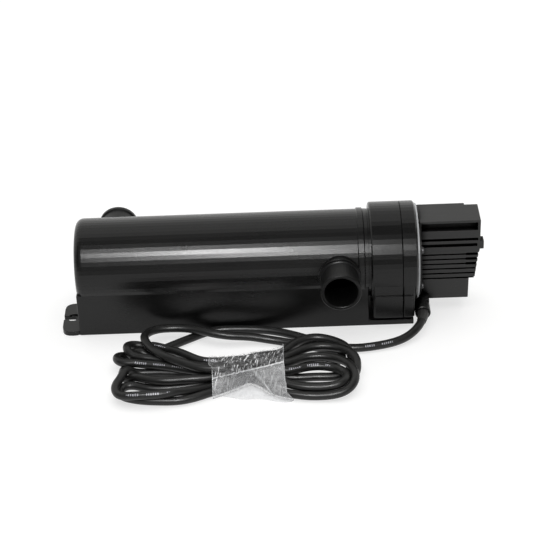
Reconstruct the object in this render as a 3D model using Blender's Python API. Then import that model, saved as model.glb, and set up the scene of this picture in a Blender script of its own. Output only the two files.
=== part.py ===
"""In-line UV clarifier: a black flow housing with two hose ports and a lamp head that draws out.

Metres, +Z up. X runs along the housing towards the lamp head, -Y is the front, and the
object stands on z = 0. Lengths along X are measured from the housing's closed left end,
and the parts on the housing's axis are built around local X, with local z = 0 on it.
"""

from math import cos, pi, radians, sin

import bmesh
import bpy
from mathutils import Vector

MM = 0.001

# Driving dimensions, in millimetres.
AXIS_HEIGHT = 62.5
HOUSING_RADIUS = 45.0
HOUSING_WALL = 4.0
HOUSING_LENGTH = 297.5
END_FILLET = 8.0
NECK_RADIUS = 44.7
NECK_END = 322.5
BASE_HALF_WIDTH = 42.5
BASE_WALL = 3.5
BASE_END = 343.0
FOOT_LENGTH = 18.3
FOOT_THICKNESS = 5.0
FOOT_INNER_EDGE = 10.0
FRONT_PORT_X = 267.8
REAR_PORT_X = 38.1
PORT_REACH = 75.8
PORT_BORE_RADIUS = 16.8
COLLAR_RADIUS = 51.6
RING_START = 299.8
RING_END = 331.3
FLANGE_START = 331.7
FLANGE_END = 346.6
LUG_END = 343.8
GASKET_THICKNESS = 1.7
CASE_START = 348.9
PLATE_END = 350.5
CASE_END = 411.8
CASE_HALF_DEPTH = 18.1
CASE_TOP = 44.0
CASE_BOTTOM = -48.2
CASE_TAB = 3.7
SLEEVE_RADIUS = 17.5
SLEEVE_TIP = 70.0
SLEEVE_END = 337.6
LAMP_TIP = 90.0
LAMP_BASE_END = 326.6
GLAND_X = 352.2
GLAND_Z = -48.5
GLAND_MOUTH_Y = -44.5
CORD_RADIUS = 4.25
HANK_BOTTOM = 1.3
HANK_TOP = 23.9
GAP = 0.3

# The frame's origin: the middle of the foot-to-tab length, on the floor.
MIDDLE_X = (CASE_END + CASE_TAB - FOOT_LENGTH) / 2.0


def clear_scene():
    for item in list(bpy.data.objects):
        bpy.data.objects.remove(item, do_unlink=True)


def material(name, color, roughness, metallic=0.0, transmission=0.0):
    made = bpy.data.materials.new(name)
    made.use_nodes = True
    shader = made.node_tree.nodes["Principled BSDF"]
    shader.inputs["Base Color"].default_value = (*color, 1.0)
    shader.inputs["Roughness"].default_value = roughness
    shader.inputs["Metallic"].default_value = metallic
    shader.inputs["Transmission Weight"].default_value = transmission
    return made


def axis_empty(name, location, parent=None):
    empty = bpy.data.objects.new(name, None)
    empty.location = Vector(location) * MM
    empty.parent = parent
    bpy.context.scene.collection.objects.link(empty)
    return empty


def finish(name, bm, coat, parent, sharp_degrees=35.0):
    """Turns a bmesh into an object shaded smooth, with creases at its hard edges."""
    bmesh.ops.remove_doubles(bm, verts=bm.verts, dist=1e-6)
    bmesh.ops.recalc_face_normals(bm, faces=bm.faces)
    mesh = bpy.data.meshes.new(name)
    bm.to_mesh(mesh)
    bm.free()
    mesh.shade_smooth()
    mesh.set_sharp_from_angle(angle=radians(sharp_degrees))
    made = bpy.data.objects.new(name, mesh)
    made.parent = parent
    if coat is not None:
        mesh.materials.append(coat)
    bpy.context.scene.collection.objects.link(made)
    return made


def turned(name, profile, coat, parent, steps=64, phase=0.0):
    """Spins a profile of (x, r) about local X: a loop, or a line whose two ends are on the axis.

    A line's ends on the axis become flat caps, each with one face. The phase is where the
    first corner stands, in steps, and keeps the corners of crossing solids apart.
    """
    bm = bmesh.new()
    capped = profile[0][1] == 0.0
    lean = 2.0 * pi * phase / steps
    places = [(x * MM, r * MM * sin(lean), r * MM * cos(lean)) for x, r in profile if r > 0.0]
    corners = [bm.verts.new(place) for place in places]
    edges = [bm.edges.new(pair) for pair in zip(corners, corners[1:])]
    if not capped:
        edges.append(bm.edges.new((corners[-1], corners[0])))
    bmesh.ops.spin(
        bm,
        geom=corners + edges,
        cent=(0.0, 0.0, 0.0),
        axis=(1.0, 0.0, 0.0),
        angle=2.0 * pi,
        steps=steps,
        use_merge=True,
    )
    bmesh.ops.remove_doubles(bm, verts=bm.verts, dist=1e-6)
    if capped:
        rims = [edge for edge in bm.edges if edge.is_boundary]
        bmesh.ops.holes_fill(bm, edges=rims, sides=0)
    return finish(name, bm, coat, parent)


def block(name, low, high, coat, parent, bevel=0.0):
    """A box between two corners, with rounded edges where a bevel is given."""
    bm = bmesh.new()
    bmesh.ops.create_cube(bm, size=1.0)
    low, high = Vector(low) * MM, Vector(high) * MM
    for vert in bm.verts:
        vert.co = Vector([low[i] + (vert.co[i] + 0.5) * (high[i] - low[i]) for i in range(3)])
    made = finish(name, bm, coat, parent)
    if bevel:
        add_bevel(made, bevel)
    return made


def add_bevel(made, width, segments=2):
    modifier = made.modifiers.new("rounded edges", "BEVEL")
    modifier.width = width * MM
    modifier.segments = segments
    modifier.limit_method = "ANGLE"
    modifier.angle_limit = radians(40.0)


def arc(centre, radius, start, end, steps):
    """Points on an arc in a plane, its angles in degrees."""
    turns = [radians(start + (end - start) * i / steps) for i in range(steps + 1)]
    return [(centre[0] + radius * cos(a), centre[1] + radius * sin(a)) for a in turns]


def rounded(points, radius, steps=5):
    """A closed outline with each corner replaced by a short curve."""
    outline = []
    count = len(points)
    for i, corner in enumerate(points):
        here = Vector(corner)
        before = Vector(points[i - 1])
        after = Vector(points[(i + 1) % count])
        reach = min(radius, (before - here).length / 2.1, (after - here).length / 2.1)
        start = here + (before - here).normalized() * reach
        end = here + (after - here).normalized() * reach
        for k in range(steps + 1):
            t = k / steps
            outline.append(tuple(start * (1 - t) ** 2 + here * 2 * t * (1 - t) + end * t * t))
    return outline


def prism(name, outline, low, high, coat, parent, normal="Z"):
    """Extrudes an outline along Z, or an outline drawn in XZ along Y."""
    bm = bmesh.new()
    if normal == "Z":
        corners = [bm.verts.new((a * MM, b * MM, low * MM)) for a, b in outline]
        travel = Vector((0.0, 0.0, (high - low) * MM))
    else:
        corners = [bm.verts.new((a * MM, low * MM, b * MM)) for a, b in outline]
        travel = Vector((0.0, (high - low) * MM, 0.0))
    face = bm.faces.new(corners)
    grown = bmesh.ops.extrude_face_region(bm, geom=[face], use_keep_orig=True)
    moved = [item for item in grown["geom"] if isinstance(item, bmesh.types.BMVert)]
    bmesh.ops.translate(bm, verts=moved, vec=travel)
    return finish(name, bm, coat, parent)


def hide(helper):
    helper.hide_render = True
    helper.display_type = "WIRE"


def combine(target, helper, operation):
    """Adds a Boolean with a helper that the build leaves out."""
    hide(helper)
    modifier = target.modifiers.new(helper.name, "BOOLEAN")
    modifier.operation = operation
    modifier.object = helper
    modifier.solver = "EXACT"


def join(target, helper):
    combine(target, helper, "UNION")


def cut(target, helper):
    combine(target, helper, "DIFFERENCE")


def facing_out(made, side, x, z=0.0):
    """Turns a piece built along local X to point along Y: side -1 is the front, +1 the rear."""
    made.rotation_euler = (0.0, 0.0, side * pi / 2.0)
    made.location = (x * MM, 0.0, z * MM)


def tube(name, points, radius, coat, parent, sides=3, radii=None):
    """A round bar along a smooth polyline, with closed ends."""
    curve = bpy.data.curves.new(name, "CURVE")
    curve.dimensions = "3D"
    curve.bevel_depth = radius * MM
    curve.bevel_resolution = sides
    curve.use_fill_caps = True
    spline = curve.splines.new("POLY")
    spline.points.add(len(points) - 1)
    for i, (place, point) in enumerate(zip(points, spline.points)):
        point.co = (*(Vector(place) * MM), 1.0)
        point.radius = radii[i] if radii else 1.0
    curve.materials.append(coat)
    made = bpy.data.objects.new(name, curve)
    made.parent = parent
    bpy.context.scene.collection.objects.link(made)
    return made


def smooth_route(knots, spacing):
    """Even points on a Catmull-Rom curve through the knots."""
    path = [Vector(k) for k in knots]
    path = [path[0] * 2 - path[1]] + path + [path[-1] * 2 - path[-2]]
    fine = []
    for a, b, c, d in zip(path, path[1:], path[2:], path[3:]):
        for k in range(24):
            t = k / 24
            fine.append(
                0.5
                * (
                    2 * b
                    + (c - a) * t
                    + (2 * a - 5 * b + 4 * c - d) * t**2
                    + (3 * b - a - 3 * c + d) * t**3
                )
            )
    fine.append(path[-2])
    lengths = [0.0]
    for a, b in zip(fine, fine[1:]):
        lengths.append(lengths[-1] + (b - a).length)
    count = max(2, round(lengths[-1] / spacing))
    even = []
    for i in range(count + 1):
        target = lengths[-1] * i / count
        j = min(next(k for k in range(len(lengths)) if lengths[k] >= target - 1e-9), len(fine) - 1)
        j = max(j, 1)
        span = lengths[j] - lengths[j - 1]
        even.append(fine[j - 1].lerp(fine[j], (target - lengths[j - 1]) / span if span else 0.0))
    return even


# Housing side ---------------------------------------------------------------------------


def build_housing(coat, parent):
    """One moulding: the barrel with its closed end, the neck, the hollow base and both feet."""
    inner = HOUSING_RADIUS - HOUSING_WALL
    fillet = arc((END_FILLET, HOUSING_RADIUS - END_FILLET), END_FILLET, 180.0, 90.0, 6)
    profile = [(0.0, 0.0)] + fillet
    profile += [(286.8, HOUSING_RADIUS), (287.6, 46.2), (293.0, 46.2), (293.8, HOUSING_RADIUS)]
    profile += [(HOUSING_LENGTH, HOUSING_RADIUS), (HOUSING_LENGTH, NECK_RADIUS)]
    profile += [(NECK_END, NECK_RADIUS), (NECK_END, 0.0)]
    housing = turned("housing", profile, coat, parent, steps=64, phase=0.5)

    floor = -AXIS_HEIGHT
    wall_top = -14.5
    half = BASE_HALF_WIDTH
    skirt = block("base_walls", (0, -half, floor), (HOUSING_LENGTH - 0.5, half, wall_top), None, parent)
    hollow = block(
        "base_hollow",
        (BASE_WALL, -half + BASE_WALL, floor - 1.0),
        (HOUSING_LENGTH - 4.0, half - BASE_WALL, wall_top + 1.0),
        None,
        parent,
    )
    cut(skirt, hollow)
    add_bevel(skirt, 0.8)
    join(housing, skirt)

    tongue = block("base_tongue", (290.0, -half, floor), (BASE_END, half, floor + 6.0), None, parent, 0.8)
    join(housing, tongue)
    for index in range(2):
        join(housing, build_foot(index, parent))
    for name, side, x in (("front", -1, FRONT_PORT_X), ("rear", 1, REAR_PORT_X)):
        boss_profile = [(30.0, 0.0), (30.0, 21.6), (46.0, 21.6), (46.8, 20.9), (46.8, 0.0)]
        boss = turned(f"{name}_port_boss", boss_profile, None, parent, steps=40, phase=0.25)
        facing_out(boss, side, x)
        join(housing, boss)

    bore_profile = [(5.0, 0.0), (5.0, inner - 4.0), (9.0, inner)]
    bore_profile += [(NECK_END + 2.0, inner), (NECK_END + 2.0, 0.0)]
    cut(housing, turned("chamber_bore", bore_profile, None, parent, steps=64, phase=0.5))
    for name, side, x in (("front", -1, FRONT_PORT_X), ("rear", 1, REAR_PORT_X)):
        seat_profile = [(20.0, 0.0), (20.0, 19.5), (49.0, 19.5), (49.0, 0.0)]
        seat = turned(f"{name}_port_seat", seat_profile, None, parent, steps=40, phase=0.6)
        facing_out(seat, side, x)
        cut(housing, seat)
    return housing


def build_foot(index, parent):
    """A rounded ear with an open-ended screw slot; the second is the first turned half round."""
    front = -BASE_HALF_WIDTH
    middle = (front + FOOT_INNER_EDGE) / 2.0
    floor = -AXIS_HEIGHT
    outline = [(4.0, front), (-FOOT_LENGTH, front), (-FOOT_LENGTH, FOOT_INNER_EDGE), (4.0, FOOT_INNER_EDGE)]
    ear = prism(f"foot_plate_{index}", rounded(outline, 13.0), floor, floor + FOOT_THICKNESS, None, parent)
    slot = [(-FOOT_LENGTH - 2.0, middle - 3.5), (-FOOT_LENGTH - 2.0, middle + 3.5)]
    slot += arc((-8.0, middle), 3.5, 90.0, -90.0, 8)
    cut(ear, prism(f"foot_slot_{index}", slot, floor - 1.0, floor + 9.0, None, parent))
    sink_profile = [(FOOT_THICKNESS - 1.4, 0.0), (FOOT_THICKNESS - 1.4, 6.5), (9.0, 6.5), (9.0, 0.0)]
    sink = turned(f"foot_sink_{index}", sink_profile, None, parent, steps=24, phase=0.3)
    sink.rotation_euler = (0.0, -pi / 2.0, 0.0)
    sink.location = (-8.0 * MM, middle * MM, floor * MM)
    cut(ear, sink)
    if index == 1:
        turn = axis_empty("rear_foot_turn", (BASE_END, 0.0, 0.0), parent)
        turn.rotation_euler = (0.0, 0.0, pi)
        ear.parent = turn
        for modifier in ear.modifiers:
            modifier.object.parent = turn
    return ear


def build_port(name, side, x, coat, parent):
    """A smooth hose tail seated in the housing's boss, with a retaining lip at its mouth."""
    bore = PORT_BORE_RADIUS
    profile = [(40.6, bore), (40.6, 19.2), (47.1, 19.2), (47.1, 20.4), (49.0, 20.4), (49.8, 19.3)]
    profile += [(69.4, 19.0), (71.2, 20.5), (74.8, 20.5), (PORT_REACH, 19.6)]
    profile += [(PORT_REACH, bore + 0.8), (PORT_REACH - 0.8, bore)]
    port = turned(name, profile, coat, parent, steps=40)
    facing_out(port, side, x)
    return port


# Lamp head side -------------------------------------------------------------------------


def grip_lug(name, start, end, proud_start, proud_end, parent):
    """The squared lower front corner of a collar, with a proud grip plate on its face."""
    low = CASE_BOTTOM
    cheek = block(f"{name}_cheek", (start, -50.4, low), (end, -16.0, -10.0), None, parent, 1.0)
    plate = block(f"{name}_plate", (proud_start, -51.9, low + 0.4), (proud_end, -40.0, -21.6), None, parent, 0.9)
    return cheek, plate


def build_locking_ring(coat, parent):
    profile = [(RING_START, 0.0), (RING_START, COLLAR_RADIUS - 1.2), (RING_START + 1.2, COLLAR_RADIUS)]
    profile += [(RING_END - 0.5, COLLAR_RADIUS), (RING_END, COLLAR_RADIUS - 0.5), (RING_END, 0.0)]
    ring = turned("locking_ring", profile, coat, parent, steps=64)
    for piece in grip_lug("ring_lug", RING_START + 1.6, RING_END, 302.4, RING_END, parent):
        join(ring, piece)
    bore = [(RING_START - 1.0, 0.0), (RING_START - 1.0, 45.3), (322.6, 45.3), (322.6, 48.2)]
    bore += [(328.7, 48.2), (328.7, 46.4), (RING_END + 1.0, 46.4), (RING_END + 1.0, 0.0)]
    cut(ring, turned("ring_bore", bore, None, parent, steps=64, phase=0.4))
    return ring


def build_head_flange(coat, parent):
    """The plug that closes the neck: a grooved spigot, a shoulder held by the ring, and a disc."""
    rim = COLLAR_RADIUS
    profile = [(303.0, 34.2), (303.0, 40.6), (310.8, 40.6), (310.8, 37.4)]
    profile += [(315.4, 37.4), (315.4, 40.6), (322.9, 40.6), (322.9, 47.8), (328.4, 47.8)]
    profile += [(328.4, 46.0), (FLANGE_START, 46.0), (FLANGE_START, rim)]
    profile += [(FLANGE_END - 1.6, rim), (FLANGE_END, rim - 1.8)]
    profile += [(FLANGE_END, 16.4), (338.0, 16.4), (338.0, 18.0), (306.2, 18.0)]
    profile += [(306.2, 23.9), (327.0, 23.9), (327.0, 34.2)]
    flange = turned("head_flange", profile, coat, parent, steps=56)
    for piece in grip_lug("flange_lug", FLANGE_START + 0.3, LUG_END - 0.6, FLANGE_START + 0.3, LUG_END - 2.3, parent):
        join(flange, piece)
    for index, (y, z) in enumerate(screw_places()):
        hole = [(334.0, 0.0), (334.0, 2.3), (348.0, 2.3), (348.0, 0.0)]
        cutter = turned(f"flange_screw_hole_{index}", hole, None, parent, steps=12, phase=0.3)
        cutter.location = (0.0, y * MM, z * MM)
        cut(flange, cutter)
    return flange


def screw_places():
    return [(y, z) for y in (-34.0, 34.0) for z in (-21.0, 21.0)]


def build_case(coat, parent):
    """The ballast case: a round mounting plate and a slab with a recess and cooling slots."""
    disc = [(CASE_START, 0.0), (CASE_START, 46.6), (PLATE_END, 46.6), (PLATE_END, 0.0)]
    case = turned("ballast_case", disc, coat, parent, steps=56)
    slab_outline = [(CASE_START + 0.8, CASE_TOP), (CASE_END, CASE_TOP), (CASE_END, 10.0), (410.4, 4.0)]
    slab_outline += [(407.0, -24.6), (401.2, -24.6), (400.8, CASE_BOTTOM), (CASE_START + 0.8, CASE_BOTTOM)]
    depth = CASE_HALF_DEPTH
    slab = prism("case_slab", slab_outline, -depth, depth, None, parent, normal="Y")
    add_bevel(slab, 0.7)
    join(case, slab)

    tab = block("case_tab", (405.0, -depth, 10.2), (CASE_END + CASE_TAB, -8.0, 19.4), None, parent, 0.6)
    join(case, tab)
    neck = block("gland_neck", (349.4, -31.0, -56.2), (359.8, -4.0, -41.0), None, parent, 0.8)
    join(case, neck)
    barrel_profile = [(26.6, 0.0), (26.6, 8.0), (43.7, 8.0), (-GLAND_MOUTH_Y, 7.2), (-GLAND_MOUTH_Y, 0.0)]
    barrel = turned("gland_barrel", barrel_profile, None, parent, steps=32, phase=0.2)
    facing_out(barrel, -1, GLAND_X, GLAND_Z)
    join(case, barrel)

    cavity = [(CASE_START - 1.0, 38.0), (404.0, 38.0), (404.0, -20.0), (397.0, -22.0)]
    cavity += [(397.0, -44.0), (CASE_START - 1.0, -44.0)]
    cut(case, prism("case_cavity", cavity, -10.5, 10.5, None, parent, normal="Y"))
    bore_profile = [(22.0, 0.0), (22.0, 6.3), (46.0, 6.3), (46.0, 0.0)]
    bore = turned("gland_bore", bore_profile, None, parent, steps=24, phase=0.4)
    facing_out(bore, -1, GLAND_X, GLAND_Z)
    cut(case, bore)
    cut(case, block("wire_duct", (350.0, -24.0, -51.0), (355.0, -5.5, -43.0), None, parent))
    for side in (-1, 1):
        for cutter in case_grooves(side, parent):
            cut(case, cutter)
    step = block("rear_corner_step", (398.0, 14.3, -30.0), (CASE_END + 1.0, 20.0, 50.0), None, parent)
    cut(case, step)
    for index, (y, z) in enumerate(screw_places()):
        hole = [(347.0, 0.0), (347.0, 2.3), (352.0, 2.3), (352.0, 0.0)]
        cutter = turned(f"case_screw_hole_{index}", hole, None, parent, steps=12, phase=0.3)
        cutter.location = (0.0, y * MM, z * MM)
        cut(case, cutter)
    return case


def case_grooves(side, parent):
    """Cutters for one broad face: the recess, the two grooves above the tab, and six cooling slots."""
    face = side * CASE_HALF_DEPTH
    label = "front" if side < 0 else "rear"

    def groove(name, x_low, x_high, z_low, z_high, deep):
        inner = face - side * deep
        outer = face + side * 2.0
        low = (x_low, min(inner, outer), z_low)
        high = (x_high, max(inner, outer), z_high)
        return block(f"{label}_{name}", low, high, None, parent)

    cutters = [
        groove("recess", PLATE_END + 1.6, 409.0, 32.7, 41.6, 6.0),
        groove("upper_groove", PLATE_END + 0.4, 409.6, 20.6, 23.6, 5.0),
        groove("lower_groove", PLATE_END + 0.4, CASE_END - 3.0, 13.6, 17.2, 3.0),
    ]
    first_slot = 4.6
    slot_pitch = 5.66
    slot_width = 1.7
    for index in range(6):
        centre = first_slot - index * slot_pitch
        low, high = centre - slot_width / 2.0, centre + slot_width / 2.0
        cutters.append(groove(f"slot_{index}", PLATE_END + 0.4, CASE_END + 2.0, low, high, 5.0))
        if index < 3:
            cutters.append(groove(f"slot_end_{index}", 397.5, CASE_END + 2.0, low - 0.6, high + 0.7, 6.2))
    return cutters


def build_screw(index, place, coat, parent):
    under = PLATE_END + GAP
    profile = [(335.0, 0.0), (335.0, 1.9), (under, 1.9), (under, 3.6)]
    profile += [(under + 1.6, 3.6), (under + 2.4, 2.6), (under + 2.4, 0.0)]
    screw = turned(f"case_screw_{index}", profile, coat, parent, steps=16)
    screw.location = (0.0, place[0] * MM, place[1] * MM)
    turn_slot = block(f"screw_slot_{index}", (under + 1.4, -5.0, -0.45), (under + 3.3, 5.0, 0.43), None, screw)
    cut(screw, turn_slot)
    return screw


def o_ring(name, x, major, minor, coat, parent):
    section = arc((x, major), minor, 0.0, 300.0, 5)
    return turned(name, section, coat, parent, steps=40)


def build_sleeve(coat, parent):
    """A quartz test-tube: a domed tip, and an open end that stands in the flange."""
    outer = SLEEVE_RADIUS
    inner = outer - 1.5
    dome_x = SLEEVE_TIP + outer
    outside = [(SLEEVE_TIP + 0.4, 0.0)] + arc((dome_x, 0.0), outer, 168.0, 90.0, 5)
    inside = arc((dome_x, 0.0), inner, 90.0, 168.0, 5) + [(dome_x - inner + 0.4, 0.0)]
    profile = outside + [(SLEEVE_END, outer), (SLEEVE_END, inner)] + inside
    return turned("quartz_sleeve", profile, coat, parent, steps=32)


def build_sleeve_nut(coat, parent):
    profile = [(299.5, 18.0), (299.5, 27.0), (300.5, 28.0), (316.0, 28.0), (316.0, 24.3)]
    profile += [(302.2, 24.3), (302.2, 18.0)]
    nut = turned("sleeve_nut", profile, coat, parent, steps=40)
    for index in range(8):
        angle = (index + 0.07) * pi / 4.0
        notch_profile = [(298.0, 0.0), (298.0, 1.6), (314.0, 1.6), (314.0, 0.0)]
        notch = turned(f"nut_notch_{index}", notch_profile, None, parent, steps=10, phase=0.3)
        notch.location = (0.0, 28.6 * cos(angle) * MM, 28.6 * sin(angle) * MM)
        cut(nut, notch)
    return nut


def build_lamp(glass, plastic, parent):
    """A twin-tube lamp: two glass limbs joined near the tip, and its moulded base."""
    limb_gap = 7.3
    limb = [(LAMP_TIP, 0.0), (LAMP_TIP, 2.6), (LAMP_TIP + 1.6, 4.8), (LAMP_TIP + 4.5, 6.0)]
    limb += [(296.2, 6.0), (296.2, 0.0)]
    lamp = turned("uv_lamp_tubes", limb, glass, parent, steps=20)
    lamp.location = (0.0, 0.0, limb_gap * MM)
    other = turned("second_limb", limb, None, parent, steps=20)
    other.location = (0.0, 0.0, -limb_gap * MM)
    join(lamp, other)
    bridge_profile = [(-limb_gap, 0.0), (-limb_gap, 3.0), (limb_gap, 3.0), (limb_gap, 0.0)]
    bridge = turned("limb_bridge", bridge_profile, None, parent, steps=12, phase=0.3)
    bridge.rotation_euler = (0.0, pi / 2.0, 0.0)
    bridge.location = ((LAMP_TIP + 14.0) * MM, 0.0, 0.0)
    join(lamp, bridge)
    base = block("lamp_base", (296.6, -8.0, -13.0), (LAMP_BASE_END, 8.0, 13.0), plastic, parent, 1.5)
    return lamp, base


def build_ballast(coats, parent):
    """What the case holds: the lamp socket, the circuit board and the parts on it."""
    block("lamp_socket", (LAMP_BASE_END + 0.4, -8.0, -12.5), (352.6, 8.0, 12.5), coats["ivory"], parent, 1.0)
    block("ballast_board", (354.0, 6.2, -18.0), (400.0, 7.8, 34.0), coats["board"], parent)
    block("ballast_choke", (360.0, -8.6, 12.0), (380.0, 5.8, 31.0), coats["coil"], parent, 1.2)
    can = turned(
        "ballast_capacitor",
        [(0.0, 0.0), (0.0, 5.4), (0.8, 6.0), (19.2, 6.0), (20.0, 5.4), (20.0, 0.0)],
        coats["can"],
        parent,
        steps=28,
    )
    can.rotation_euler = (0.0, -pi / 2.0, 0.0)
    can.location = (391.0 * MM, -0.6 * MM, 10.0 * MM)
    block("terminal_block", (361.0, -5.0, -14.0), (393.0, 5.8, -4.0), coats["ivory"], parent, 0.6)
    block("cord_clamp", (364.0, -9.0, -43.6), (376.0, 9.0, -36.0), coats["ivory"], parent, 0.8)


# Cord ------------------------------------------------------------------------------------

# The cord's way out of the case: in the gland, down to the floor, and round to the hank.
CORD_KNOTS = [
    (352.2, -24.0, 14.0),
    (352.2, -34.0, 14.0),
    (352.2, -44.0, 14.0),
    (351.4, -51.0, 13.7),
    (348.8, -58.5, 12.4),
    (344.0, -65.8, 10.3),
    (337.4, -72.2, 8.0),
    (328.6, -77.6, 6.0),
    (318.0, -81.6, 4.9),
    (305.0, -84.9, 4.45),
    (292.0, -87.3, 4.4),
    (279.9, -88.0, 4.4),
]
HANK_OUTLINE = [
    (56.0, -47.2),
    (222.0, -47.2),
    (246.0, -60.0),
    (279.5, -66.0),
    (279.5, -98.0),
    (285.0, -108.0),
    (285.0, -146.0),
    (268.0, -172.0),
    (228.0, -172.0),
    (221.0, -148.6),
    (124.0, -148.6),
    (118.0, -170.5),
    (56.0, -170.5),
    (36.0, -150.0),
    (36.0, -80.0),
]
HANK_WINDOW = [(116.0, -61.0), (204.0, -61.0), (213.0, -93.0), (130.0, -93.0)]
WRAP_START = 140.0
WRAP_END = 206.0


def build_cord(coats, head, root):
    route = smooth_route(CORD_KNOTS, 3.0)
    boot_end = 11
    straight = 7
    boot_points = [point - Vector((0.0, 0.0, AXIS_HEIGHT)) for point in route[: boot_end + 1]]
    tapers = [max(0, index - straight) / (boot_end - straight) for index in range(boot_end + 1)]
    radii = [1.0 - 0.18 * taper for taper in tapers]
    tube("cord_boot", boot_points, 5.9, coats["rubber"], head, sides=3, radii=radii)
    onward = (route[boot_end + 1] - route[boot_end]).normalized()
    lead_points = [route[boot_end] + onward * 3.0 * GAP, route[boot_end + 1], route[boot_end + 2]]
    lead_points += route[boot_end + 5 : -3 : 4] + [route[-1]]
    tube("cord_lead", lead_points, CORD_RADIUS, coats["rubber"], root, sides=3)

    hank = prism("cord_hank", rounded(HANK_OUTLINE, 14.0), HANK_BOTTOM, HANK_TOP, coats["rubber"], root)
    window = prism("hank_window", rounded(HANK_WINDOW, 6.0), HANK_BOTTOM - 1.0, HANK_TOP + 1.0, None, root)
    cut(hank, window)

    inner_low, inner_high = (-149.0, 0.95), (-92.6, 24.25)
    film = 0.75
    wrap = block(
        "hank_wrap",
        (WRAP_START, inner_low[0] - film, inner_low[1] - film),
        (WRAP_END, inner_high[0] + film, inner_high[1] + film),
        coats["film"],
        root,
    )
    core = block(
        "wrap_core",
        (WRAP_START - 2.0, inner_low[0], inner_low[1]),
        (WRAP_END + 2.0, inner_high[0], inner_high[1]),
        None,
        root,
    )
    cut(wrap, core)


def main():
    clear_scene()
    coats = {
        "black": material("black_plastic", (0.022, 0.022, 0.024), 0.28),
        "grey": material("gasket_silicone", (0.30, 0.31, 0.32), 0.4),
        "rubber": material("black_rubber", (0.030, 0.030, 0.032), 0.5),
        "seal": material("seal_rubber", (0.02, 0.02, 0.02), 0.6),
        "quartz": material("quartz_glass", (0.95, 0.97, 1.0), 0.03, transmission=1.0),
        "lamp": material("lamp_glass", (0.90, 0.92, 0.95), 0.08, transmission=0.8),
        "ivory": material("ivory_plastic", (0.80, 0.78, 0.70), 0.4),
        "board": material("circuit_board", (0.05, 0.22, 0.09), 0.5),
        "coil": material("choke_core", (0.25, 0.19, 0.08), 0.45),
        "can": material("capacitor_can", (0.08, 0.10, 0.22), 0.35),
        "steel": material("stainless_steel", (0.62, 0.62, 0.63), 0.3, metallic=1.0),
        "film": material("clear_film", (0.90, 0.92, 0.94), 0.12, transmission=0.9),
    }
    root = axis_empty("frame_origin", (-MIDDLE_X, 0.0, 0.0))
    body = axis_empty("housing_axis", (0.0, 0.0, AXIS_HEIGHT), root)
    head = axis_empty("lamp_head_slide_axis", (0.0, 0.0, AXIS_HEIGHT), root)
    ring = axis_empty("locking_ring_turn_axis", (0.0, 0.0, 0.0), head)

    build_housing(coats["black"], body)
    build_port("front_hose_port", -1, FRONT_PORT_X, coats["black"], body)
    build_port("rear_hose_port", 1, REAR_PORT_X, coats["black"], body)

    build_locking_ring(coats["black"], ring)
    build_head_flange(coats["black"], head)
    seal_face = FLANGE_END + GAP
    seal_back = seal_face + GASKET_THICKNESS
    face_seal = [(seal_face, 43.5), (seal_face, 48.8), (seal_back, 48.8), (seal_back, 43.5)]
    turned("face_gasket", face_seal, coats["grey"], head, steps=64)
    build_case(coats["black"], head)
    for index, place in enumerate(screw_places()):
        build_screw(index + 1, place, coats["steel"], head)
    o_ring("neck_o_ring", 313.1, 39.15, 1.5, coats["seal"], head)
    build_sleeve(coats["quartz"], head)
    o_ring("sleeve_o_ring", 304.2, 19.4, 1.45, coats["seal"], head)
    build_sleeve_nut(coats["black"], head)
    build_lamp(coats["lamp"], coats["ivory"], head)
    build_ballast(coats, head)
    build_cord(coats, head, root)


main()
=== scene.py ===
"""Looks for the in-line UV clarifier: cord, film wrap, fine moulded pieces, materials, light and camera."""

import math

import bmesh
import bpy
import numpy as np
from mathutils import Matrix, Vector
from mathutils.noise import noise


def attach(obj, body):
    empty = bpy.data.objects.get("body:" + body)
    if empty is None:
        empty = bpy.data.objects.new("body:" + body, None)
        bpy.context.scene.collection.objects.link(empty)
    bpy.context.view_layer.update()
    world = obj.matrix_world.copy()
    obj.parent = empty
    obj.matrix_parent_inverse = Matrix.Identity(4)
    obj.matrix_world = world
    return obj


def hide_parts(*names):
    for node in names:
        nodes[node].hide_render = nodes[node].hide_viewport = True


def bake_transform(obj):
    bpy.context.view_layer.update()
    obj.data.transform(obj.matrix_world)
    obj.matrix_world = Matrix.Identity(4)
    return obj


MM = 0.001
# What turns an x measured from the housing's closed end into the frame's, in millimetres.
HOUSING_TO_FRAME = -198.6
AXIS_Z = 62.5
CORD_DIAMETER = 8.5

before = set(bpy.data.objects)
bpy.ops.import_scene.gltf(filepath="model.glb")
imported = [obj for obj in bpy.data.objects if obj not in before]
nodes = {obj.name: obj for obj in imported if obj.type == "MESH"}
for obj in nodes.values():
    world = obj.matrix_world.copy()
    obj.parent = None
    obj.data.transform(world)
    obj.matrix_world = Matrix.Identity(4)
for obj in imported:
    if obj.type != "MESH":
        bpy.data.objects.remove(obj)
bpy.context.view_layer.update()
scene = bpy.context.scene


def link(made):
    scene.collection.objects.link(made)
    return made


def to_row(points):
    """From the housing's millimetres to the frame's metres."""
    return (np.asarray(points, float) + np.array([HOUSING_TO_FRAME, 0.0, 0.0])) * MM


def run_along(points):
    """How far along a polyline each of its points lies."""
    return np.r_[0.0, np.cumsum(np.linalg.norm(np.diff(points, axis=0), axis=1))]


def add_attributes(mesh, values_by_name):
    for name, values in values_by_name.items():
        layer = mesh.attributes.new(name, "FLOAT", "POINT")
        layer.data.foreach_set("value", values.astype(np.float32).ravel())


# Camera ---------------------------------------------------------------------------------

# Lens and sensor in millimetres, target and distance in the frame's millimetres, angles in degrees.
CAMERA_LENS = 118.66
CAMERA_SENSOR = 36.0
CAMERA_TARGET = (-4.672, 0.0, 49.089)
CAMERA_DISTANCE = 1815.145
CAMERA_ELEVATION = 32.331
CAMERA_YAW = -0.620
CAMERA_ROLL = -2.363


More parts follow.
